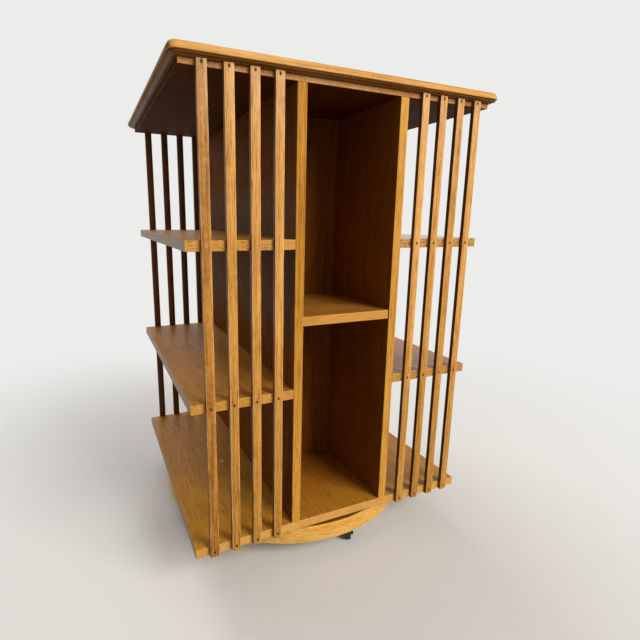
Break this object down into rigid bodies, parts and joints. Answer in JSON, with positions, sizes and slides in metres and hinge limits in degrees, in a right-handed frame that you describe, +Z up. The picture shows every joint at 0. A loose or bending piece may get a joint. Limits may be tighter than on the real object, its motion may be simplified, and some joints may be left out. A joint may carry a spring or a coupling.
{
  "type": "revolving bookcase",
  "caption": "Square revolving bookcase with open side bays, slatted faces, centre bays and a moulded top, turning on a round base that stands on castors.",
  "frame": {"origin": "on the floor, on the spindle's axis, under the middle of the bookcase", "axes": "+Z up along the spindle, -Y out of the slatted front with its centre bay, -X out of the open left side"},
  "size_m": [0.5372, 0.5372, 0.795],
  "materials": {
    "oak": "satin varnish",
    "oak_slat": "satin varnish",
    "oak_top": "satin varnish",
    "oak_base": "satin varnish",
    "steel": "oiled",
    "brass": "turned",
    "iron": "black japanned",
    "castor_metal": "dull, darkened",
    "castor_wheel": "worn black"
  },
  "bodies": {
    "base": {"base_disc": "oak_base", "flange_screws": "steel", "castor_plate_front": "castor_metal", "castor_plate_right": "castor_metal", "castor_plate_back": "castor_metal", "castor_plate_left": "castor_metal", "spindle_flange": "iron", "spindle": "steel", "spindle_nut": "steel", "lower_race": "steel"},
    "roller_ring": {"roller_cage": "brass", "bearing_rollers": "steel"},
    "bookcase": {"bottom_board": "oak", "left_panel": "oak", "right_panel": "oak", "core_wall_front": "oak", "core_wall_back": "oak", "left_mid_shelf": "oak", "left_upper_shelf": "oak", "right_mid_shelf": "oak", "right_upper_shelf": "oak", "front_centre_shelf": "oak", "back_centre_shelf": "oak", "bearing_bridge": "oak", "subtop_board": "oak", "top_board": "oak_top", "front_slat_1": "oak_slat", "front_slat_2": "oak_slat", "front_slat_3": "oak_slat", "front_slat_4": "oak_slat", "front_slat_5": "oak_slat", "front_slat_6": "oak_slat", "front_slat_7": "oak_slat", "front_slat_8": "oak_slat", "back_slat_1": "oak_slat", "back_slat_2": "oak_slat", "back_slat_3": "oak_slat", "back_slat_4": "oak_slat", "back_slat_5": "oak_slat", "back_slat_6": "oak_slat", "back_slat_7": "oak_slat", "back_slat_8": "oak_slat", "slat_brads": "steel", "upper_race": "steel", "race_screws": "steel", "lower_bush": "brass", "upper_bush": "brass"},
    "castor_swivel_front": {"castor_fork_front": "castor_metal", "castor_axle_front": "castor_metal"},
    "castor_roll_front": {"castor_wheel_front": "castor_wheel"},
    "castor_swivel_right": {"castor_fork_right": "castor_metal", "castor_axle_right": "castor_metal"},
    "castor_roll_right": {"castor_wheel_right": "castor_wheel"},
    "castor_swivel_back": {"castor_fork_back": "castor_metal", "castor_axle_back": "castor_metal"},
    "castor_roll_back": {"castor_wheel_back": "castor_wheel"},
    "castor_swivel_left": {"castor_fork_left": "castor_metal", "castor_axle_left": "castor_metal"},
    "castor_roll_left": {"castor_wheel_left": "castor_wheel"}
  },
  "joints": [
    {"name": "bookcase_turn", "type": "hinge", "parent": "base", "child": "bookcase", "pos_m": [0, 0, 0.072], "axis": [0, 0, 1], "continuous": true},
    {"name": "roller_ring_turn", "type": "hinge", "parent": "base", "child": "roller_ring", "pos_m": [0, 0, 0.072], "axis": [0, 0, 1], "continuous": true},
    {"name": "castor_front_swivel", "type": "hinge", "parent": "base", "child": "castor_swivel_front", "pos_m": [0.04512, -0.21226, 0.036], "axis": [0, 0, 1], "continuous": true},
    {"name": "castor_front_roll", "type": "hinge", "parent": "castor_swivel_front", "child": "castor_roll_front", "pos_m": [0.03749, -0.224, 0.013], "axis": [0.8387, -0.5446, 0], "continuous": true},
    {"name": "castor_right_swivel", "type": "hinge", "parent": "base", "child": "castor_swivel_right", "pos_m": [0.21226, 0.04512, 0.036], "axis": [0, 0, 1], "continuous": true},
    {"name": "castor_right_roll", "type": "hinge", "parent": "castor_swivel_right", "child": "castor_roll_right", "pos_m": [0.20463, 0.03338, 0.013], "axis": [0.8387, -0.5446, 0], "continuous": true},
    {"name": "castor_back_swivel", "type": "hinge", "parent": "base", "child": "castor_swivel_back", "pos_m": [-0.04512, 0.21226, 0.036], "axis": [0, 0, 1], "continuous": true},
    {"name": "castor_back_roll", "type": "hinge", "parent": "castor_swivel_back", "child": "castor_roll_back", "pos_m": [-0.05274, 0.20052, 0.013], "axis": [0.8387, -0.5446, 0], "continuous": true},
    {"name": "castor_left_swivel", "type": "hinge", "parent": "base", "child": "castor_swivel_left", "pos_m": [-0.21226, -0.04512, 0.036], "axis": [0, 0, 1], "continuous": true},
    {"name": "castor_left_roll", "type": "hinge", "parent": "castor_swivel_left", "child": "castor_roll_left", "pos_m": [-0.21988, -0.05686, 0.013], "axis": [0.8387, -0.5446, 0], "continuous": true}
  ],
  "couplings": [
    {"joint": "roller_ring_turn", "follows": "bookcase_turn", "ratio": 0.5}
  ]
}
